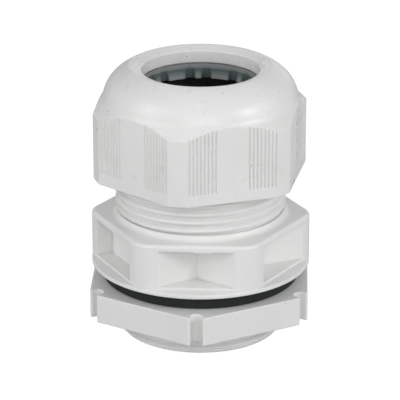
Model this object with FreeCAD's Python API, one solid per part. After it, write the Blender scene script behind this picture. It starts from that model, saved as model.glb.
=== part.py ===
import FreeCAD, Part
import math
import os

from FreeCAD import Vector

# A plastic cable gland with an M40 x 1.5 entry thread.  Millimetres, +Z up.
# The origin is the centre of the flange's underside, the face that seals on the panel.
# Azimuth 0 faces -Y and grows towards +X.

# --- Driving dimensions -----------------------------------------------------------------------

# Gland body: flange, hexagon, collar and the ring that carries the fingers.
FLANGE_R = 26.2
FLANGE_TOP = 0.9
FLANGE_ROUND = 0.35
BLOCK_SINK = 0.2
BODY_HEX_APOTHEM = 23.3
BODY_HEX_TOP = 12.1
BODY_HEX_AZIMUTH = -2.7
BODY_CORNER_ROUND = 4.8
BODY_HEX_EDGE_ROUND = 0.8
BODY_BORE_R = 15.5
COLLAR_R = 20.2
COLLAR_TOP = 13.4
COLLAR_ROUND = 1.2
NECK_SINK = 0.5
RING_TOP = 28.3
RING_R = 19.4

# Weight-saving pockets, one in each side of the body's hexagon.
POCKET_HALF_WIDTH = 8.95
POCKET_LOW = 1.56
POCKET_HIGH = 10.55
NOTCH_APEX = 17.2
RECESS_FLOOR = 19.3
RECESS_SIDES = (2, 5)
TAB_LOW = 10.3
TAB_LEFT = -0.3
TAB_WIDTH = 4.0

# Seal seat inside the body's ring.
SEAT_R = 17.1
SEAT_Z = 26.0

# Clamping thread between the body and the dome nut: radius at crest and root.
CLAMP_PITCH = 2.0
CLAMP_CREST_R = 20.4
CLAMP_CREST_WIDTH = 0.6
CLAMP_CREST_RISE = 0.12
CLAMP_LOW = 13.5
CLAMP_HIGH = 27.2
CLAMP_PHASE = 15.0

# Entry thread M40 x 1.5, which goes through the panel.
ENTRY_PITCH = 1.5
ENTRY_CREST_R = 20.0
ENTRY_ROOT_R = 19.08
ENTRY_CREST_WIDTH = 0.25
ENTRY_LOW = -16.9
ENTRY_END_ROUND = 0.25
ENTRY_PHASE = -15.0

# Threads run with this play, square to their flanks and between crest and root.
THREAD_PLAY = 0.15
THREAD_GAP = 0.2
FLANK_SLOPE = math.tan(math.radians(30))
# A ridge starts this far inside its wall, and is trimmed with this margin, so that no faces coincide.
THREAD_BITE = 0.3
TRIM_MARGIN = 0.1

# Clamping fingers, each on its own living hinge in the ring's top face.
FINGER_COUNT = 16
FINGER_AZIMUTH = 2.5
HINGE_R = 18.15
KNUCKLE_R = 0.7
KNUCKLE_PLAY = 0.1
NECK_HEIGHT = 0.9
NECK_FLARE = 0.25
FINGER_INNER = 17.2
FINGER_OUTER = 19.1
FINGER_TOP = 38.6
FINGER_TIP_CHAMFER = 1.2
FINGER_ROOT_WIDTH = 5.9
FINGER_TIP_WIDTH = 4.7
FINGER_SIDE_PLAY = 0.15

# Seal insert.
SEAL_OUTER_R = 17.0
SEAL_TOP = 44.5
SEAL_SHOULDER = 41.0
SEAL_TOP_OUTER_R = 14.6
SEAL_BORE_R = 13.8
SEAL_UNDERCUT_R = 15.4
SEAL_UNDERCUT_LOW = 37.0
SEAL_PAD_LOW = 40.9
SEAL_PAD_HIGH = 43.6
SEAL_LIP_R = 14.15
PAD_WIDE_DEG = 20.0
PAD_NARROW_DEG = 9.0

# Dome nut.  Points on its outline are (radius, z).
NUT_LOW = 22.4
NUT_APOTHEM = 23.55
NUT_CORNER_R = 25.96
NUT_AZIMUTH = 18.2
NUT_BOTTOM_ROUND = 0.3
NUT_SHOULDER = 38.4
NUT_SHOULDER_DROP = 1.66
NUT_DOME_START = 42.35
NUT_HOLLOW = (0.23, 0.1)
DOME_BASE_Z = 34.4
DOME_RISE = 15.0
DOME_CROWN_R = 14.5
DOME_SPREAD = 9.0
DOME_POWER = 0.78
CROWN_EDGE_R = 17.1
CREST = (16.65, 48.66)
LIP_START = (16.2, 48.6)
LIP_END = (14.25, 47.9)
LIP_BEND = (14.07, 47.77)
LIP_LOW = 47.57
OPENING_R = 14.0
ROOF_Z = 44.9
CONE_TOP_R = 15.0
CONE_TOP_Z = 44.4
CONE_LOW_Z = 38.2
CAVITY_R = 19.6
NUT_THREAD_TOP = 34.2
THREAD_RELIEF = 0.6
MOUTH_CHAMFER = 0.3

# Fine grip grooves beside each corner of the dome nut.
GROOVE_R = 0.29
GROOVE_OUT = 0.04
GROOVE_COUNT = 8
GROOVE_FIRST = 4.1
GROOVE_PITCH = 0.915
GROOVE_LOW = 25.4

# Small raised ticks on the lip inside the crown.
TICK_HEIGHT = 0.14
TICK_WIDTH = 0.7
TICK_INNER_R = 14.7
TICK_OUTER_R = 16.2
TICK_SINK = 0.5
TICK_STEP_DEG = 5.5
TICK_GROUPS = ((93.0, 5), (-101.0, 3))

# Flat gasket under the flange.
GASKET_R = 23.6
GASKET_BORE_R = 20.2
GASKET_TOP = -0.05
GASKET_LOW = -3.55
GASKET_ROUND = 0.35

# Hexagonal lock nut with a drain slot at each corner.
LOCK_APOTHEM = 25.9
LOCK_TOP = -3.7
LOCK_LOW = -10.7
LOCK_AZIMUTH = 28.0
LOCK_EDGE_ROUND = 0.2
LOCK_MOUTH_CHAMFER = 0.4
SLOT_WIDTH = 2.9
SLOT_DEPTH = 3.6
SLOT_EDGE_ROUND = 0.4


# --- Shape helpers ----------------------------------------------------------------------------

def facing(shape, azimuth):
    """A shape built facing -Y, turned about Z to face the azimuth."""
    turned = shape.copy()
    turned.rotate(Vector(0, 0, 0), Vector(0, 0, 1), azimuth)
    return turned


def ring(inner_r, outer_r, z_low, z_high):
    outer = Part.makeCylinder(outer_r, z_high - z_low, Vector(0, 0, z_low))
    inner = Part.makeCylinder(inner_r, z_high - z_low, Vector(0, 0, z_low))
    return outer.cut(inner)


def line(start, end):
    """A straight outline edge between two (radius, z) points."""
    return Part.makeLine(Vector(start[0], 0, start[1]), Vector(end[0], 0, end[1]))


def arc(start, middle, end):
    points = [Vector(r, 0, z) for r, z in (start, middle, end)]
    return Part.Arc(*points).toShape()


def lines(points):
    return [line(a, b) for a, b in zip(points, points[1:])]


def turned_solid(edges):
    """A closed (radius, z) outline turned a full circle about Z."""
    face = Part.Face(Part.Wire(edges))
    return face.revolve(Vector(0, 0, 0), Vector(0, 0, 1), 360)


def hex_prism(apothem, z_low, z_high, azimuth):
    """A hexagonal prism with one side facing the azimuth."""
    half_side = apothem * math.tan(math.radians(30))
    corner_r = math.hypot(apothem, half_side)
    corners = []
    for side in range(7):
        angle = math.radians(azimuth + 30 + 60 * side)
        corners.append(Vector(corner_r * math.sin(angle), -corner_r * math.cos(angle), z_low))
    return Part.Face(Part.makePolygon(corners)).extrude(Vector(0, 0, z_high - z_low))


def edges_at_height(shape, z):
    """The edges that lie in the level plane at z."""
    return [e for e in shape.Edges if abs(e.BoundBox.ZMin - z) < 0.001 and abs(e.BoundBox.ZMax - z) < 0.001]


def outer_edges(edges, least_r):
    """Those edges whose middle lies outside a radius."""
    found = []
    for edge in edges:
        middle = edge.valueAt(0.5 * (edge.FirstParameter + edge.LastParameter))
        if math.hypot(middle.x, middle.y) > least_r:
            found.append(edge)
    return found


def upright_edges(shape, least_height):
    return [e for e in shape.Edges if e.BoundBox.ZLength > least_height]


def helical_ridge(base_r, crest_r, base_width, crest_width, pitch, phase, z_low, z_high, crest_rise=0):
    """A right-hand thread ridge whose crest passes azimuth 90 at the phase height.

    Its base reaches a little into the wall it grows from, and its ends run past z_low and z_high.
    With a crest_rise the crest is an arc that high; otherwise it is flat.
    """
    outward = 1 if crest_r > base_r else -1
    foot_r = base_r - outward * THREAD_BITE
    foot_width = base_width + TRIM_MARGIN
    shoulder_r = crest_r - outward * crest_rise
    first_turn = math.floor((z_low - phase) / pitch) - 1
    start_z = phase + first_turn * pitch
    turns = math.ceil((z_high - start_z) / pitch) + 1
    helix = Part.makeHelix(pitch, turns * pitch, base_r)
    helix.translate(Vector(0, 0, start_z))
    foot = [Vector(foot_r, 0, start_z + side * foot_width / 2) for side in (-1, 1)]
    shoulder = [Vector(shoulder_r, 0, start_z + side * crest_width / 2) for side in (-1, 1)]
    if crest_rise:
        crest = Part.Arc(shoulder[0], Vector(crest_r, 0, start_z), shoulder[1]).toShape()
    else:
        crest = Part.makeLine(shoulder[0], shoulder[1])
    profile = Part.Wire([Part.makeLine(foot[0], shoulder[0]), crest,
                         Part.makeLine(shoulder[1], foot[1]), Part.makeLine(foot[1], foot[0])])
    return Part.Wire(helix.Edges).makePipeShell([profile], True, True)


def male_ridge(crest_r, root_r, crest_width, pitch, phase, z_low, z_high, crest_rise=0):
    base_width = crest_width + 2 * (crest_r - root_r) * FLANK_SLOPE
    return helical_ridge(root_r, crest_r, base_width, crest_width, pitch, phase, z_low, z_high, crest_rise)


def female_ridge(crest_r, root_r, crest_width, pitch, phase, z_low, z_high):
    """The mating ridge: half a pitch away, clear of the male thread on both flanks and at both ends."""
    flank_play = 2 * THREAD_PLAY / math.cos(math.radians(30))
    wall_r = crest_r + THREAD_GAP
    tip_r = root_r + THREAD_GAP
    base_width = pitch - crest_width + 2 * THREAD_GAP * FLANK_SLOPE - flank_play
    tip_width = base_width - 2 * (wall_r - tip_r) * FLANK_SLOPE
    return helical_ridge(wall_r, tip_r, base_width, tip_width, pitch, phase + pitch / 2, z_low, z_high)


# --- Gland body -------------------------------------------------------------------------------

def pocket(side):
    """One pocket cutter: V-shaped in plan, or flat-floored on the two sides across the mould line."""
    outside = BODY_HEX_APOTHEM + 2
    if side in RECESS_SIDES:
        plan = [(-POCKET_HALF_WIDTH, outside), (-POCKET_HALF_WIDTH, RECESS_FLOOR),
                (POCKET_HALF_WIDTH, RECESS_FLOOR), (POCKET_HALF_WIDTH, outside)]
    else:
        plan = [(-POCKET_HALF_WIDTH, outside), (-POCKET_HALF_WIDTH, BODY_HEX_APOTHEM),
                (0, NOTCH_APEX), (POCKET_HALF_WIDTH, BODY_HEX_APOTHEM), (POCKET_HALF_WIDTH, outside)]
    corners = [Vector(x, -distance, POCKET_LOW) for x, distance in plan]
    outline = Part.makePolygon(corners + [corners[0]])
    cutter = Part.Face(outline).extrude(Vector(0, 0, POCKET_HIGH - POCKET_LOW))
    return facing(cutter, BODY_HEX_AZIMUTH + 60 * side)


def body_block():
    """The hexagon with rounded corners, pockets and a softened top edge."""
    block = hex_prism(BODY_HEX_APOTHEM, FLANGE_TOP - BLOCK_SINK, BODY_HEX_TOP, BODY_HEX_AZIMUTH)
    block = block.makeFillet(BODY_CORNER_ROUND, upright_edges(block, BODY_HEX_TOP / 2))
    block = block.makeFillet(BODY_HEX_EDGE_ROUND, edges_at_height(block, BODY_HEX_TOP))
    for side in range(6):
        block = block.cut(pocket(side))
    tab = Part.makeBox(TAB_WIDTH, BODY_HEX_APOTHEM - NOTCH_APEX, POCKET_HIGH - TAB_LOW,
                       Vector(TAB_LEFT, -BODY_HEX_APOTHEM, TAB_LOW))
    return block.fuse(facing(tab, BODY_HEX_AZIMUTH))


def flange():
    low_r = FLANGE_R - FLANGE_ROUND
    bend = FLANGE_ROUND * (1 - math.sqrt(0.5))
    outline = lines([(0, FLANGE_TOP), (0, 0), (FLANGE_R, 0), (FLANGE_R, FLANGE_TOP - FLANGE_ROUND)])
    outline.append(arc((FLANGE_R, FLANGE_TOP - FLANGE_ROUND), (FLANGE_R - bend, FLANGE_TOP - bend),
                       (low_r, FLANGE_TOP)))
    outline.append(line((low_r, FLANGE_TOP), (0, FLANGE_TOP)))
    return turned_solid(outline)


def body_neck():
    """Collar with a rounded foot, then the plain ring above it."""
    foot_r = COLLAR_R + COLLAR_ROUND
    bend = COLLAR_ROUND * (1 - math.sqrt(0.5))
    foot_top = BODY_HEX_TOP + COLLAR_ROUND
    low = BODY_HEX_TOP - NECK_SINK
    outline = lines([(0, RING_TOP), (0, low), (foot_r, low), (foot_r, BODY_HEX_TOP)])
    outline.append(arc((foot_r, BODY_HEX_TOP), (COLLAR_R + bend, BODY_HEX_TOP + bend),
                       (COLLAR_R, foot_top)))
    outline += lines([(COLLAR_R, foot_top), (COLLAR_R, COLLAR_TOP), (RING_R, COLLAR_TOP),
                      (RING_R, RING_TOP), (0, RING_TOP)])
    return turned_solid(outline)


def clamp_thread():
    """The body's upper thread, faded into the collar and chamfered at the top."""
    ridge = male_ridge(CLAMP_CREST_R, RING_R, CLAMP_CREST_WIDTH, CLAMP_PITCH, CLAMP_PHASE,
                       CLAMP_LOW, CLAMP_HIGH, CLAMP_CREST_RISE)
    height = CLAMP_CREST_R - RING_R
    core_r = RING_R - 2 * THREAD_BITE
    envelope_r = CLAMP_CREST_R + TRIM_MARGIN
    outline = lines([(core_r, CLAMP_LOW), (RING_R + height / 2, CLAMP_LOW),
                     (envelope_r, CLAMP_LOW + height), (envelope_r, CLAMP_HIGH - height),
                     (core_r, CLAMP_HIGH), (core_r, CLAMP_LOW)])
    return ridge.common(turned_solid(outline))


def entry_spigot():
    """The entry thread on its core, sloped off at the end so that a nut can start on it."""
    core = Part.makeCylinder(ENTRY_ROOT_R, FLANGE_TOP / 2 - ENTRY_LOW, Vector(0, 0, ENTRY_LOW))
    core = core.makeFillet(ENTRY_END_ROUND, edges_at_height(core, ENTRY_LOW))
    ridge = male_ridge(ENTRY_CREST_R, ENTRY_ROOT_R, ENTRY_CREST_WIDTH, ENTRY_PITCH, ENTRY_PHASE,
                       ENTRY_LOW, 0)
    core_r = ENTRY_ROOT_R - 2 * THREAD_BITE
    envelope_r = ENTRY_CREST_R + TRIM_MARGIN
    start = ENTRY_LOW + ENTRY_END_ROUND
    lead = envelope_r - ENTRY_ROOT_R
    top = FLANGE_TOP / 3
    outline = lines([(core_r, start), (ENTRY_ROOT_R, start), (envelope_r, start + lead), (envelope_r, top),
                     (core_r, top), (core_r, start)])
    return core.fuse(ridge.common(turned_solid(outline)))


def hinge_groove(azimuth):
    """The half-round groove that a finger's knuckle sits in."""
    length = FINGER_ROOT_WIDTH + 2 * FINGER_SIDE_PLAY
    start = Vector(-length / 2, -HINGE_R, RING_TOP)
    groove = Part.makeCylinder(KNUCKLE_R + KNUCKLE_PLAY, length, start, Vector(1, 0, 0))
    return facing(groove, azimuth)


def finger_azimuths():
    return [FINGER_AZIMUTH + index * 360.0 / FINGER_COUNT for index in range(FINGER_COUNT)]


def gland_body():
    body = flange().fuse([body_block(), body_neck(), clamp_thread(), entry_spigot()])
    bore = Part.makeCylinder(BODY_BORE_R, RING_TOP - ENTRY_LOW + 2, Vector(0, 0, ENTRY_LOW - 1))
    seat = Part.makeCylinder(SEAT_R, RING_TOP - SEAT_Z + 1, Vector(0, 0, SEAT_Z))
    body = body.cut([bore, seat])
    body = body.cut([hinge_groove(azimuth) for azimuth in finger_azimuths()])
    return body


# --- Clamping fingers -------------------------------------------------------------------------

def clamp_finger(azimuth):
    """One finger: a knuckle, a short neck and a flat blade that narrows towards its tip."""
    neck_in = HINGE_R - KNUCKLE_R
    neck_out = HINGE_R + KNUCKLE_R
    blade_low = RING_TOP + NECK_HEIGHT
    outline = [arc((neck_in, RING_TOP), (HINGE_R, RING_TOP - KNUCKLE_R), (neck_out, RING_TOP))]
    outline += lines([(neck_out, RING_TOP), (neck_out, blade_low - NECK_FLARE), (FINGER_OUTER, blade_low),
                      (FINGER_OUTER, FINGER_TOP - FINGER_TIP_CHAMFER),
                      (FINGER_OUTER - FINGER_TIP_CHAMFER, FINGER_TOP), (FINGER_INNER, FINGER_TOP),
                      (FINGER_INNER, blade_low), (neck_in, blade_low - NECK_FLARE), (neck_in, RING_TOP)])
    face = Part.Face(Part.Wire(outline))
    face.rotate(Vector(0, 0, 0), Vector(0, 0, 1), -90)
    face.translate(Vector(-FINGER_ROOT_WIDTH / 2, 0, 0))
    blade = face.extrude(Vector(FINGER_ROOT_WIDTH, 0, 0))
    root = FINGER_ROOT_WIDTH / 2
    tip = FINGER_TIP_WIDTH / 2
    far = -FINGER_OUTER - 1
    taper = [Vector(-root, far, RING_TOP - 1), Vector(root, far, RING_TOP - 1),
             Vector(root, far, blade_low), Vector(tip, far, FINGER_TOP),
             Vector(-tip, far, FINGER_TOP), Vector(-root, far, blade_low)]
    plan = Part.Face(Part.makePolygon(taper + [taper[0]])).extrude(Vector(0, 4, 0))
    return facing(blade.common(plan), azimuth)


# --- Seal insert ------------------------------------------------------------------------------

def seal_pad(azimuth, width):
    """A raised pad: a sector of the band between the seal's bore and its lip recess."""
    band = ring(SEAL_BORE_R, SEAL_UNDERCUT_R, SEAL_PAD_LOW, SEAL_PAD_HIGH)
    reach = 2 * SEAL_UNDERCUT_R
    half = math.radians(width / 2)
    spread = reach * math.tan(half)
    wedge = Part.makePolygon([Vector(0, 0, SEAL_PAD_LOW), Vector(spread, -reach, SEAL_PAD_LOW),
                              Vector(-spread, -reach, SEAL_PAD_LOW), Vector(0, 0, SEAL_PAD_LOW)])
    sector = Part.Face(wedge).extrude(Vector(0, 0, SEAL_PAD_HIGH - SEAL_PAD_LOW))
    return facing(band.common(sector), azimuth)


def seal_insert():
    outline = lines([(SEAL_BORE_R, SEAT_Z), (SEAL_OUTER_R, SEAT_Z), (SEAL_OUTER_R, SEAL_SHOULDER),
                     (SEAL_TOP_OUTER_R, SEAL_TOP), (SEAL_LIP_R, SEAL_TOP), (SEAL_LIP_R, SEAL_PAD_LOW),
                     (SEAL_UNDERCUT_R, SEAL_PAD_LOW), (SEAL_UNDERCUT_R, SEAL_UNDERCUT_LOW),
                     (SEAL_BORE_R, SEAL_UNDERCUT_LOW), (SEAL_BORE_R, SEAT_Z)])
    seal = turned_solid(outline)
    pads = []
    for index, azimuth in enumerate(finger_azimuths()):
        width = PAD_NARROW_DEG if index % 2 == 0 else PAD_WIDE_DEG
        pads.append(seal_pad(azimuth, width))
    return seal.fuse(pads)


# --- Dome nut ---------------------------------------------------------------------------------

def dome_radius(z):
    """The dome's outer radius at a height: a flattened oval that ends in the crown."""
    rise = (z - DOME_BASE_Z) / DOME_RISE
    return DOME_CROWN_R + DOME_SPREAD * (1 - rise ** 4) ** DOME_POWER


def dome_height(radius):
    share = (radius - DOME_CROWN_R) / DOME_SPREAD
    return DOME_BASE_Z + DOME_RISE * (1 - share ** (1 / DOME_POWER)) ** 0.25


def dome_curve(low_z, high_r):
    """The dome's outline from a height up to a crown radius, with its points closer where it is steep."""
    low_r = dome_radius(low_z)
    steps = 9
    points = []
    for step in range(steps + 1):
        radius = low_r + (high_r - low_r) * (1 - math.cos(math.radians(90.0 * step / steps)))
        points.append(Vector(radius, 0, dome_height(radius)))
    curve = Part.BSplineCurve()
    curve.interpolate(points)
    return curve.toShape()


def nut_outside():
    """Dome over a hexagon whose corners are turned to a cylinder and sloped off at the shoulder.

    The crown ends in a blunt crest, from which a lip slopes down to the cable opening.
    """
    shoulder_low = (NUT_CORNER_R, NUT_SHOULDER)
    shoulder_high = (NUT_CORNER_R - NUT_SHOULDER_DROP, NUT_SHOULDER + NUT_SHOULDER_DROP)
    dome_start = (dome_radius(NUT_DOME_START), NUT_DOME_START)
    hollow = ((shoulder_high[0] + dome_start[0]) / 2 - NUT_HOLLOW[0],
              (shoulder_high[1] + dome_start[1]) / 2 - NUT_HOLLOW[1])
    crown = (CROWN_EDGE_R, dome_height(CROWN_EDGE_R))
    opening_top = (OPENING_R, LIP_LOW)
    outline = lines([(OPENING_R, NUT_LOW), (NUT_CORNER_R, NUT_LOW), shoulder_low, shoulder_high])
    outline.append(arc(shoulder_high, hollow, dome_start))
    outline.append(dome_curve(NUT_DOME_START, CROWN_EDGE_R))
    outline.append(arc(crown, CREST, LIP_START))
    outline.append(line(LIP_START, LIP_END))
    outline.append(arc(LIP_END, LIP_BEND, opening_top))
    outline.append(line(opening_top, (OPENING_R, NUT_LOW)))
    envelope = turned_solid(outline)
    return envelope.common(hex_prism(NUT_APOTHEM, NUT_LOW, ROOF_Z + 10, NUT_AZIMUTH))


def nut_cavity():
    """Threaded mouth, plain bore and the cone that presses the fingers inward."""
    wall_r = CLAMP_CREST_R + THREAD_GAP
    mouth_r = wall_r + MOUTH_CHAMFER
    return turned_solid(lines([
        (0, NUT_LOW - 1), (mouth_r, NUT_LOW - 1), (mouth_r, NUT_LOW), (wall_r, NUT_LOW + MOUTH_CHAMFER),
        (wall_r, NUT_THREAD_TOP), (CAVITY_R, NUT_THREAD_TOP + THREAD_RELIEF), (CAVITY_R, CONE_LOW_Z),
        (CONE_TOP_R, CONE_TOP_Z), (CONE_TOP_R, ROOF_Z), (0, ROOF_Z), (0, NUT_LOW - 1)]))


def female_envelope(crest_r, root_r, z_low, z_high):
    """The ring-shaped space that a nut's ridge is trimmed to, sloped off at both ends."""
    foot_r = crest_r + THREAD_GAP + 2 * THREAD_BITE
    tip_r = root_r + THREAD_GAP - TRIM_MARGIN
    lead = foot_r - tip_r
    return turned_solid(lines([(foot_r, z_low), (tip_r, z_low + lead), (tip_r, z_high - lead),
                               (foot_r, z_high), (foot_r, z_low)]))


def nut_thread():
    ridge = female_ridge(CLAMP_CREST_R, RING_R, CLAMP_CREST_WIDTH, CLAMP_PITCH, CLAMP_PHASE,
                         NUT_LOW, NUT_THREAD_TOP)
    return ridge.common(female_envelope(CLAMP_CREST_R, RING_R, NUT_LOW + TRIM_MARGIN,
                                        NUT_THREAD_TOP - TRIM_MARGIN))


def grip_groove(offset):
    """A fine upright groove with a round lower end that runs out at the shoulder."""
    centre_y = -(NUT_APOTHEM + GROOVE_OUT)
    start = Vector(offset, centre_y, GROOVE_LOW)
    shaft = Part.makeCylinder(GROOVE_R, ROOF_Z - GROOVE_LOW, start)
    return shaft.fuse(Part.makeSphere(GROOVE_R, start))


def grip_grooves():
    side_grooves = []
    for index in range(GROOVE_COUNT):
        offset = GROOVE_FIRST + index * GROOVE_PITCH
        side_grooves.append(grip_groove(offset))
        side_grooves.append(grip_groove(-offset))
    grooves = []
    for side in range(6):
        grooves += [facing(groove, NUT_AZIMUTH + 60 * side) for groove in side_grooves]
    return grooves


def lip_height(radius):
    """The height of the sloping lip between the crest and the opening."""
    slope = (LIP_START[1] - LIP_END[1]) / (LIP_START[0] - LIP_END[0])
    return LIP_END[1] + (radius - LIP_END[0]) * slope


def crown_ticks():
    """Short raised bars that follow the lip."""
    foot_z = LIP_END[1] - TICK_SINK
    cap = turned_solid(lines([
        (TICK_INNER_R, foot_z), (TICK_OUTER_R, foot_z),
        (TICK_OUTER_R, lip_height(TICK_OUTER_R) + TICK_HEIGHT),
        (TICK_INNER_R, lip_height(TICK_INNER_R) + TICK_HEIGHT), (TICK_INNER_R, foot_z)]))
    ticks = []
    for centre, count in TICK_GROUPS:
        for index in range(count):
            azimuth = centre + (index - (count - 1) / 2) * TICK_STEP_DEG
            length = TICK_OUTER_R - TICK_INNER_R + 1
            bar = Part.makeBox(TICK_WIDTH, length, 2, Vector(-TICK_WIDTH / 2, -TICK_OUTER_R - 0.5, foot_z))
            ticks.append(cap.common(facing(bar, azimuth)))
    return ticks


def dome_nut():
    nut = nut_outside()
    nut = nut.makeFillet(NUT_BOTTOM_ROUND, outer_edges(edges_at_height(nut, NUT_LOW), NUT_APOTHEM - 1))
    nut = nut.cut(nut_cavity())
    nut = nut.fuse(nut_thread())
    nut = nut.cut(grip_grooves())
    return nut.fuse(crown_ticks())


# --- Gasket and lock nut ----------------------------------------------------------------------

def flange_gasket():
    gasket = ring(GASKET_BORE_R, GASKET_R, GASKET_LOW, GASKET_TOP)
    rims = edges_at_height(gasket, GASKET_LOW) + edges_at_height(gasket, GASKET_TOP)
    return gasket.makeFillet(GASKET_ROUND, outer_edges(rims, GASKET_BORE_R + 1))


def corner_slot(azimuth):
    """A drain slot down the nut's corner, round-bottomed in plan."""
    corner_r = LOCK_APOTHEM / math.cos(math.radians(30))
    round_r = SLOT_WIDTH / 2
    centre = corner_r - SLOT_DEPTH + round_r
    height = LOCK_TOP - LOCK_LOW
    bottom = Part.makeCylinder(round_r, height, Vector(0, -centre, LOCK_LOW))
    mouth = Part.makeBox(SLOT_WIDTH, SLOT_DEPTH, height, Vector(-round_r, -centre - SLOT_DEPTH, LOCK_LOW))
    return facing(bottom.fuse(mouth), azimuth)


def lock_thread():
    ridge = female_ridge(ENTRY_CREST_R, ENTRY_ROOT_R, ENTRY_CREST_WIDTH, ENTRY_PITCH, ENTRY_PHASE,
                         LOCK_LOW, LOCK_TOP)
    return ridge.common(female_envelope(ENTRY_CREST_R, ENTRY_ROOT_R, LOCK_LOW, LOCK_TOP))


def lock_bore():
    """The plain hole for the lock nut's ridge, chamfered at both faces."""
    wall_r = ENTRY_CREST_R + THREAD_GAP
    mouth_r = wall_r + LOCK_MOUTH_CHAMFER
    return turned_solid(lines([
        (0, LOCK_LOW - 1), (mouth_r, LOCK_LOW - 1), (mouth_r, LOCK_LOW),
        (wall_r, LOCK_LOW + LOCK_MOUTH_CHAMFER), (wall_r, LOCK_TOP - LOCK_MOUTH_CHAMFER),
        (mouth_r, LOCK_TOP), (mouth_r, LOCK_TOP + 1), (0, LOCK_TOP + 1), (0, LOCK_LOW - 1)]))


def lock_nut():
    nut = hex_prism(LOCK_APOTHEM, LOCK_LOW, LOCK_TOP, LOCK_AZIMUTH)
    for corner in range(6):
        nut = nut.cut(corner_slot(LOCK_AZIMUTH + 30 + 60 * corner))
    mouths = outer_edges(upright_edges(nut, SLOT_WIDTH), LOCK_APOTHEM + 1)
    nut = nut.makeFillet(SLOT_EDGE_ROUND, mouths)
    rims = edges_at_height(nut, LOCK_TOP) + edges_at_height(nut, LOCK_LOW)
    nut = nut.makeFillet(LOCK_EDGE_ROUND, rims)
    return nut.cut(lock_bore()).fuse(lock_thread())


# --- Every node -------------------------------------------------------------------------------

def write(name, shape):
    """One STEP per node, holding its single solid."""
    solid = shape.Solids[0]
    print(name, len(shape.Solids), solid.isValid(), round(solid.Volume, 1))
    solid.exportStep("parts/" + name + ".step")


os.makedirs("parts", exist_ok=True)
write("gland_body", gland_body())
for number, azimuth in enumerate(finger_azimuths(), start=1):
    write("clamp_finger_%02d" % number, clamp_finger(azimuth))
write("seal_insert", seal_insert())
write("dome_nut", dome_nut())
write("flange_gasket", flange_gasket())
write("lock_nut", lock_nut())
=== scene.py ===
import math

import bpy
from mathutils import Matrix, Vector


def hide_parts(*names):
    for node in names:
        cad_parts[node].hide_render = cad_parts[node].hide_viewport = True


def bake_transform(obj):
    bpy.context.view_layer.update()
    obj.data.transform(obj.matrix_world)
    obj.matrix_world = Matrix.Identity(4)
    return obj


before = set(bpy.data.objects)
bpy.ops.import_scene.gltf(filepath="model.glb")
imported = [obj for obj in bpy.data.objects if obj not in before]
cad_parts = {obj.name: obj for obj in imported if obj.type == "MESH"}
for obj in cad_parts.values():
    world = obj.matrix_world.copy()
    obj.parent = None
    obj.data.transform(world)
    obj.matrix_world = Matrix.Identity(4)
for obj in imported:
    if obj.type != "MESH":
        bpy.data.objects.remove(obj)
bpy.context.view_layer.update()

MM = 0.001

# --- Camera: eye level, distance and lens of a long product shot ------------------------------
CAMERA_ELEVATION = math.radians(20.9)
CAMERA_DISTANCE = 0.589
CAMERA_TARGET = Vector((0, 0, 14.69 * MM))
CAMERA_LENS = 221.0
CAMERA_SHIFT_X = -0.0015
SENSOR_WIDTH = 36.0
CLIP_NEAR = 0.01
CLIP_FAR = 100

# --- Stage and light --------------------------------------------------------------------------
FLOOR_Z = -23.5 * MM
FLOOR_SIZE = 12.0
FLOOR_GLOW = 0.85
FLOOR_BRIGHTNESS = 1.2
PAPER_GREY = 0.5
ROOM_LIGHT = 0.34
# Name, azimuth and elevation in degrees, distance and size in metres, power in watts.
SOFTBOXES = (
    ("front", 3, 14, 1.4, (1.0, 0.8), 5.6),
    ("left", -65, 24, 1.2, (0.8, 0.8), 5.4),
    ("right", 67, 22, 1.2, (0.8, 0.8), 3.2),
    ("top", 0, 75, 1.2, (0.9, 0.9), 0.25),
    ("back", 170, 5, 1.3, (1.0, 0.8), 1.8),
    ("key", 60, 26, 0.9, (0.12, 0.12), 1.3),
)

# --- Materials: noise scales are in features per metre -----------------------------------------
EDGE_SAMPLES = 8
ROOT_SAMPLES = 6
FLECK_SCALE = 600.0
FLECK_CORE = 0.06
FLECK_RIM = 0.11
CLOUD_SCALE = 48
SPECKLE_SCALE = 1400
STREAK_SCALE = 260
GRAIN_SCALE = 4200
GRAIN_DEPTH = 0.006 * MM
RIPPLE_SCALE = 330
RIPPLE_DEPTH = 0.02 * MM
ROOT_REACH = 1.2 * MM
# Palest tone of the painted highlight on the nylon's edges.
PALEST = 0.93
NYLON_IOR = 1.5
NYLON_GLOW_DEPTH = 0.8 * MM
RUBBER_EDGE = 0.18 * MM
BLOOM_SCALE = 180
BLOOM_AND_HIGHLIGHT_LIFT = 0.004
RUBBER_STREAK_SCALE = 500
RUBBER_GRAIN_SCALE = 3000
RUBBER_GRAIN_DEPTH = 0.012 * MM
RUBBER_IOR = 1.4
# Where the seal's pads face the cable and their painted light begins, where the painted light on its
# upper band begins and where the painted shade on its lower wall does: (no effect, full effect).
PAD_FACE_RADII = (13.95 * MM, 13.45 * MM)
UPPER_LIGHT_HEIGHTS = (43.2 * MM, 43.7 * MM)
LOWER_SHADE_HEIGHTS = (41.0 * MM, 40.4 * MM)

# --- Seal insert, in millimetres ---------------------------------------------------------------
# Each outline corner is (radius, height, corner rounding).  Between the pads the wall stays plain.
SEAL_FOOT = [(13.8, 26.0, 0.4), (17.0, 26.0, 0.3), (17.0, 41.0, 0.5), (14.6, 44.5, 0.25)]
SEAL_BETWEEN_PADS = [(14.15, 44.5, 0.15), (14.2, 43.4, 0.4), (14.4, 40.9, 0.15)]
SEAL_ON_PAD = [(14.15, 44.5, 0.15), (14.1, 43.3, 1.2), (13.3, 40.95, 0.35)]
SEAL_UNDERCUT = [(15.4, 40.5, 0.3), (15.4, 37.0, 0.4), (13.8, 36.6, 0.4)]
CORNER_STEPS = 5
CORNER_SHARE = 0.45
CREASE_ANGLE = math.radians(40)
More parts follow.
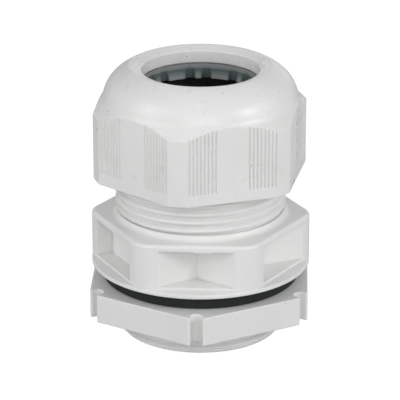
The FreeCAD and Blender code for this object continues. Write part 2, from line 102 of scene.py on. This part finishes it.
# Angles along the ring, in degrees.
PAD_WIDE_HALF = 9.6
PAD_NARROW_HALF = 3.7
PAD_EDGE = 2.6
SECTOR_WIDE_HALF = 14.2
SECTOR_NARROW_HALF = 8.3
SECTOR_STEP = 0.7
FINGER_COUNT = 16
FINGER_AZIMUTH = 2.5


# --- Material graphs --------------------------------------------------------------------------

class Graph:
    """A material's nodes. One call adds a node and sets or connects its inputs."""

    def __init__(self, name):
        self.material = bpy.data.materials.new(name)
        self.material.use_nodes = True
        self.tree = self.material.node_tree
        self.tree.nodes.clear()
        self.place = self.add("TexCoord").outputs["Object"]

    def add(self, kind, inputs=None, **settings):
        node = self.tree.nodes.new("ShaderNode" + kind)
        for key, value in settings.items():
            setattr(node, key, value)
        for key, value in (inputs or {}).items():
            if isinstance(value, bpy.types.NodeSocket):
                self.tree.links.new(value, node.inputs[key])
            else:
                node.inputs[key].default_value = value
        return node

    def noise(self, scale, detail=3.0, roughness=0.5):
        texture = self.add("TexNoise", {"Vector": self.place, "Scale": scale, "Detail": detail,
                                        "Roughness": roughness})
        return texture.outputs["Fac"]

    def remap(self, value, low, high, out_low, out_high):
        remapped = self.add("MapRange", {"Value": value, "From Min": low, "From Max": high,
                                         "To Min": out_low, "To Max": out_high})
        return remapped.outputs["Result"]

    def maths(self, operation, first, second=0.0):
        return self.add("Math", {0: first, 1: second}, operation=operation).outputs["Value"]

    def mix(self, factor, first, second):
        node = self.add("Mix", data_type="RGBA")
        for index, value in ((0, factor), (6, first), (7, second)):
            if isinstance(value, bpy.types.NodeSocket):
                self.tree.links.new(value, node.inputs[index])
            else:
                node.inputs[index].default_value = value
        return node.outputs[2]

    def bump(self, height, distance, strength=1.0, normal=None):
        inputs = {"Height": height, "Distance": distance, "Strength": strength}
        if normal is not None:
            inputs["Normal"] = normal
        return self.add("Bump", inputs).outputs["Normal"]

    def edge(self, radius):
        """(rounded normal, edge mask): the mask rises from 0 where a bevel would turn the normal."""
        rounded = self.add("Bevel", {"Radius": radius}, samples=EDGE_SAMPLES).outputs["Normal"]
        flat = self.add("NewGeometry").outputs["Normal"]
        facing = self.add("VectorMath", {0: rounded, 1: flat}, operation="DOT_PRODUCT")
        return rounded, self.remap(facing.outputs["Value"], 1.0, 0.8, 0.0, 1.0)

    def flecks(self, share):
        """1 on small dark grains, of which only this share of the possible places has one."""
        cells = self.add("TexVoronoi", {"Vector": self.place, "Scale": FLECK_SCALE})
        centre = self.remap(cells.outputs["Distance"], FLECK_CORE, FLECK_RIM, 1, 0)
        pick = self.add("SeparateColor", {"Color": cells.outputs["Color"]}).outputs["Red"]
        chosen = self.maths("LESS_THAN", pick, share)
        return self.maths("MULTIPLY", centre, chosen)

    def hollow_shade(self, reach):
        """Mask for painted shade: 0 on open faces, rising to 1 deep in roots and grooves no wider
        than the reach.
        """
        light = self.add("AmbientOcclusion", {"Distance": reach}, samples=ROOT_SAMPLES).outputs["AO"]
        return self.remap(light, 0.8, 0.2, 0, 1)

    def finish(self, **inputs):
        named = {key.replace("_", " "): value for key, value in inputs.items()}
        shader = self.add("BsdfPrincipled", named)
        self.add("OutputMaterial", {"Surface": shader.outputs["BSDF"]})
        return self.material


def shade(level):
    """A light grey, a trace less blue than neutral."""
    return (level, level * 1.003, level * 0.993, 1.0)


def nylon(name, level, gloss, edge_radius, flecks):
    """Light grey moulded nylon.

    It has faint clouding, a satin grain, a painted edge highlight, painted shade in its roots and
    stray dark flecks.
    """
    g = Graph(name)
    rounded, edge_highlight_mask = g.edge(edge_radius)
    clouds = g.remap(g.noise(CLOUD_SCALE, 3), 0.3, 0.7, 0, 1)
    speckle = g.remap(g.noise(SPECKLE_SCALE, 2), 0.55, 0.8, 0, 0.3)
    tone = g.mix(clouds, shade(level * 0.965), shade(level * 1.015))
    tone = g.mix(speckle, tone, shade(level * 0.93))
    # Painted highlight: the edges are paler.
    tone = g.mix(g.maths("MULTIPLY", edge_highlight_mask, 0.5), tone, shade(min(level * 1.1, PALEST)))
    # Painted shade: darker in roots, grooves and narrow recesses.
    tone = g.mix(g.maths("MULTIPLY", g.hollow_shade(ROOT_REACH), 0.28), tone, shade(level * 0.5))
    tone = g.mix(g.flecks(flecks), tone, shade(level * 0.3))
    streaks = g.noise(STREAK_SCALE, 4, 0.6)
    rough = g.remap(streaks, 0.3, 0.7, gloss - 0.05, gloss + 0.07)
    rough = g.maths("ADD", rough, g.maths("MULTIPLY", edge_highlight_mask, -0.04))
    grain = g.bump(g.noise(GRAIN_SCALE, 2), GRAIN_DEPTH, 0.3, rounded)
    normal = g.bump(g.noise(RIPPLE_SCALE, 2), RIPPLE_DEPTH, 0.05, grain)
    return g.finish(Base_Color=tone, Roughness=rough, Normal=normal, IOR=NYLON_IOR,
                    Subsurface_Weight=0.2, Subsurface_Radius=(1.0, 1.0, 1.0),
                    Subsurface_Scale=NYLON_GLOW_DEPTH)


def rubber_tones(g, level, bloom):
    """(rounded normal, colour) of rubber with patches of dusty bloom and a painted edge highlight.
    """
    rounded, edge_highlight_mask = g.edge(RUBBER_EDGE)
    dust = g.remap(g.noise(BLOOM_SCALE, 5, 0.65), 0.45, 0.75, 0, 1)
    base = (level * 0.8, level * 1.1, level * 1.1, 1.0)
    tone = g.mix(g.maths("MULTIPLY", dust, bloom), base, shade(level * 2.0 + BLOOM_AND_HIGHLIGHT_LIFT))
    # Painted highlight: the edges are paler.
    tone = g.mix(g.maths("MULTIPLY", edge_highlight_mask, 0.3), tone, shade(level * 1.5 + BLOOM_AND_HIGHLIGHT_LIFT))
    return rounded, tone


def rubber_finish(g, rounded, tone, gloss):
    """The rubber material itself, with uneven gloss and a fine grain."""
    rough = g.remap(g.noise(RUBBER_STREAK_SCALE, 3), 0.3, 0.7, gloss - 0.06, gloss + 0.08)
    grain = g.bump(g.noise(RUBBER_GRAIN_SCALE, 3), RUBBER_GRAIN_DEPTH, 0.5, rounded)
    return g.finish(Base_Color=tone, Roughness=rough, Normal=grain, IOR=RUBBER_IOR)


def gasket_rubber(name, level):
    """Black sheet rubber with a trace of bloom."""
    g = Graph(name)
    rounded, tone = rubber_tones(g, level, 0.1)
    return rubber_finish(g, rounded, tone, 0.62)


def seal_rubber(name, level):
    """Grey rubber with painted light on the pads and the band above them, and painted shade below
    them.
    """
    g = Graph(name)
    rounded, tone = rubber_tones(g, level, 0.2)
    split = g.add("SeparateXYZ", {"Vector": g.place})
    across = g.add("CombineXYZ", {"X": split.outputs["X"], "Y": split.outputs["Y"]})
    radius = g.add("VectorMath", {0: across.outputs["Vector"]}, operation="LENGTH")
    # Painted light: the band above the pads is paler.
    upper_band_light = g.remap(split.outputs["Z"], *UPPER_LIGHT_HEIGHTS, 0, 0.6)
    tone = g.mix(upper_band_light, tone, shade(level * 3.4))
    # Painted light: the pad faces are paler.
    pad_light = g.remap(radius.outputs["Value"], *PAD_FACE_RADII, 0, 0.75)
    tone = g.mix(pad_light, tone, shade(level * 3.2))
    # Painted shade: the wall below the pads is nearly black.
    lower_wall_shade = g.remap(split.outputs["Z"], *LOWER_SHADE_HEIGHTS, 0, 0.93)
    tone = g.mix(lower_wall_shade, tone, shade(level * 0.03))
    return rubber_finish(g, rounded, tone, 0.55)


NUT_PLASTIC = nylon("nut_plastic", 0.81, 0.3, 0.12 * MM, 0.04)
BODY_PLASTIC = nylon("body_plastic", 0.81, 0.38, 0.2 * MM, 0.015)
LOCK_PLASTIC = nylon("locknut_plastic", 0.80, 0.42, 0.2 * MM, 0.015)
FINGER_PLASTIC = nylon("finger_plastic", 0.80, 0.45, 0.15 * MM, 0.01)
SEAL_RUBBER = seal_rubber("seal_rubber", 0.115)
GASKET_RUBBER = gasket_rubber("gasket_rubber", 0.012)


NODE_MATERIALS = {
    "gland_body": BODY_PLASTIC,
    "dome_nut": NUT_PLASTIC,
    "lock_nut": LOCK_PLASTIC,
    "seal_insert": SEAL_RUBBER,
    "flange_gasket": GASKET_RUBBER,
}


def give(obj, material):
    obj.data.materials.clear()
    obj.data.materials.append(material)


for node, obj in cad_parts.items():
    give(obj, NODE_MATERIALS.get(node, FINGER_PLASTIC))


# --- Seal insert ------------------------------------------------------------------------------

def rounded_outline(corners):
    """A closed outline of (radius, height) whose corners are replaced by short curves."""
    points = []
    for index, (r, z, rounding) in enumerate(corners):
        corner = Vector((r, z))
        before = Vector(corners[index - 1][:2]) - corner
        after = Vector(corners[(index + 1) % len(corners)][:2]) - corner
        start = corner + before.normalized() * min(rounding, before.length * CORNER_SHARE)
        end = corner + after.normalized() * min(rounding, after.length * CORNER_SHARE)
        for step in range(CORNER_STEPS + 1):
            t = step / CORNER_STEPS
            points.append(start * (1 - t) ** 2 + corner * 2 * t * (1 - t) + end * t ** 2)
    return points


def smooth_step(value):
    """0 below 0, 1 above 1 and an S-curve between."""
    clamped = max(0.0, min(1.0, value))
    return clamped * clamped * (3 - 2 * clamped)


def seal_sector(name, azimuth, sector_half, pad_half):
    """One sixteenth of the seal, centred on a finger, as a closed mesh."""
    plain = rounded_outline(SEAL_FOOT + SEAL_BETWEEN_PADS + SEAL_UNDERCUT)
    padded = rounded_outline(SEAL_FOOT + SEAL_ON_PAD + SEAL_UNDERCUT)
    count = len(plain)
    steps = round(2 * sector_half / SECTOR_STEP)
    vertices = []
    for step in range(steps + 1):
        offset = -sector_half + 2 * sector_half * step / steps
        pad = smooth_step((pad_half + PAD_EDGE / 2 - abs(offset)) / PAD_EDGE)
        angle = math.radians(azimuth + offset)
        for flat, raised in zip(plain, padded):
            r, z = flat.lerp(raised, pad)
            vertices.append((r * math.sin(angle) * MM, -r * math.cos(angle) * MM, z * MM))
    faces = []
    for step in range(steps):
        for index in range(count):
            low = step * count + index
            low_next = step * count + (index + 1) % count
            faces.append((low, low + count, low_next + count, low_next))
    faces.append(tuple(range(count)))
    faces.append(tuple(reversed(range(steps * count, steps * count + count))))
    mesh = bpy.data.meshes.new(name)
    mesh.from_pydata(vertices, [], faces)
    mesh.shade_smooth()
    mesh.set_sharp_from_angle(angle=CREASE_ANGLE)
    piece = bpy.data.objects.new(name, mesh)
    bpy.context.scene.collection.objects.link(piece)
    return piece


def seal():
    """Sixteen sectors, each centred on a finger, which take the place of the seal insert."""
    for index in range(FINGER_COUNT):
        wide = index % 2 == 1
        azimuth = FINGER_AZIMUTH + index * 360 / FINGER_COUNT
        sector_half = SECTOR_WIDE_HALF if wide else SECTOR_NARROW_HALF
        pad_half = PAD_WIDE_HALF if wide else PAD_NARROW_HALF
        piece = seal_sector("seal_sector_%02d" % (index + 1), azimuth, sector_half, pad_half)
        give(piece, SEAL_RUBBER)
        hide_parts("seal_insert")
        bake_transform(piece)


seal()


# --- Stage, light and camera ------------------------------------------------------------------

def paper():
    """Pale paper that looks evenly lit, with only a trace of the object's shadow."""
    g = Graph("floor_paper")
    sheet = g.add("BsdfDiffuse", {"Color": (PAPER_GREY, PAPER_GREY, PAPER_GREY, 1)})
    glow = g.add("Emission", {"Color": (1, 1, 1, 1), "Strength": FLOOR_BRIGHTNESS})
    seen = g.add("LightPath").outputs["Is Camera Ray"]
    share = g.maths("MULTIPLY", seen, FLOOR_GLOW)
    surface = g.add("MixShader", {0: share, 1: sheet.outputs["BSDF"], 2: glow.outputs["Emission"]})
    g.add("OutputMaterial", {"Surface": surface.outputs["Shader"]})
    return g.material


def floor():
    bpy.ops.mesh.primitive_plane_add(size=FLOOR_SIZE, location=(0, 0, FLOOR_Z))
    plane = bpy.context.object
    plane.name = "floor"
    plane.data.materials.append(paper())


def softbox(name, azimuth, elevation, distance, size, power):
    """An area light that looks at the object from an azimuth and elevation in degrees."""
    a = math.radians(azimuth)
    e = math.radians(elevation)
    towards = Vector((math.sin(a) * math.cos(e), -math.cos(a) * math.cos(e), math.sin(e)))
    data = bpy.data.lights.new(name, "AREA")
    data.shape = "RECTANGLE"
    data.size, data.size_y = size
    data.energy = power
    light = bpy.data.objects.new(name, data)
    light.location = CAMERA_TARGET + towards * distance
    light.rotation_mode = "QUATERNION"
    light.rotation_quaternion = (-towards).to_track_quat("-Z", "Y")
    bpy.context.scene.collection.objects.link(light)


def surroundings(strength):
    """A white room that looks fully white, and is dimmer as a light on the object."""
    world = bpy.data.worlds.new("studio")
    world.use_nodes = True
    nodes = world.node_tree.nodes
    background = nodes["Background"]
    background.inputs["Color"].default_value = (1, 1, 1, 1)
    path = nodes.new("ShaderNodeLightPath")
    level = nodes.new("ShaderNodeMapRange")
    level.inputs["To Min"].default_value = strength
    level.inputs["To Max"].default_value = 1.0
    world.node_tree.links.new(path.outputs["Is Camera Ray"], level.inputs["Value"])
    world.node_tree.links.new(level.outputs["Result"], background.inputs["Strength"])
    bpy.context.scene.world = world


def camera():
    data = bpy.data.cameras.new("camera")
    data.lens = CAMERA_LENS
    data.sensor_width = SENSOR_WIDTH
    data.shift_x = CAMERA_SHIFT_X
    data.clip_start = CLIP_NEAR
    data.clip_end = CLIP_FAR
    eye = bpy.data.objects.new("camera", data)
    back = Vector((0, -math.cos(CAMERA_ELEVATION), math.sin(CAMERA_ELEVATION)))
    eye.location = CAMERA_TARGET + back * CAMERA_DISTANCE
    eye.rotation_mode = "QUATERNION"
    eye.rotation_quaternion = (-back).to_track_quat("-Z", "Y")
    bpy.context.scene.collection.objects.link(eye)
    bpy.context.scene.camera = eye


floor()
surroundings(ROOM_LIGHT)
for settings in SOFTBOXES:
    softbox(*settings)
camera()
bpy.context.scene.view_settings.view_transform = "Standard"
